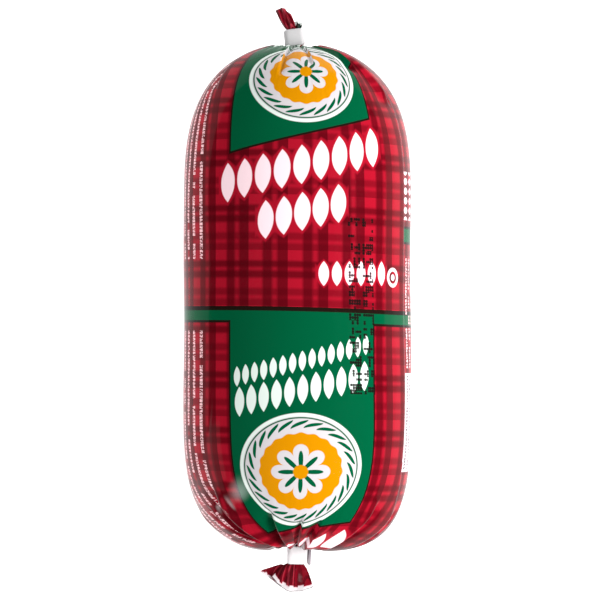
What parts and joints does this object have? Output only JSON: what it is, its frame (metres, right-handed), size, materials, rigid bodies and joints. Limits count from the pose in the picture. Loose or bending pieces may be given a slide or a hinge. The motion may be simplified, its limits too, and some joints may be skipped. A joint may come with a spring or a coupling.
{
  "type": "cured sausage",
  "caption": "Whole cured sausage, short and thick, in glossy red tartan film with a green panel, closed by a bent metal strip at each end",
  "frame": {"origin": "Middle of the flat strip on which the sausage lies, halfway along the filled part", "axes": "Length along +Y towards the end with the narrow tail, printed front faces +Z, +X is to the right seen from the front, -Z is the outward axis of the rest face"},
  "size_m": [0.0548, 0.1408, 0.052],
  "materials": {
    "printed_film": "glossy printed film, red tartan with green bands and panels",
    "clip_metal": "pale satin strip with rounded edges"
  },
  "bodies": {
    "root": {"casing": "printed_film", "clip_top": "clip_metal", "clip_bottom": "clip_metal"}
  },
  "joints": []
}
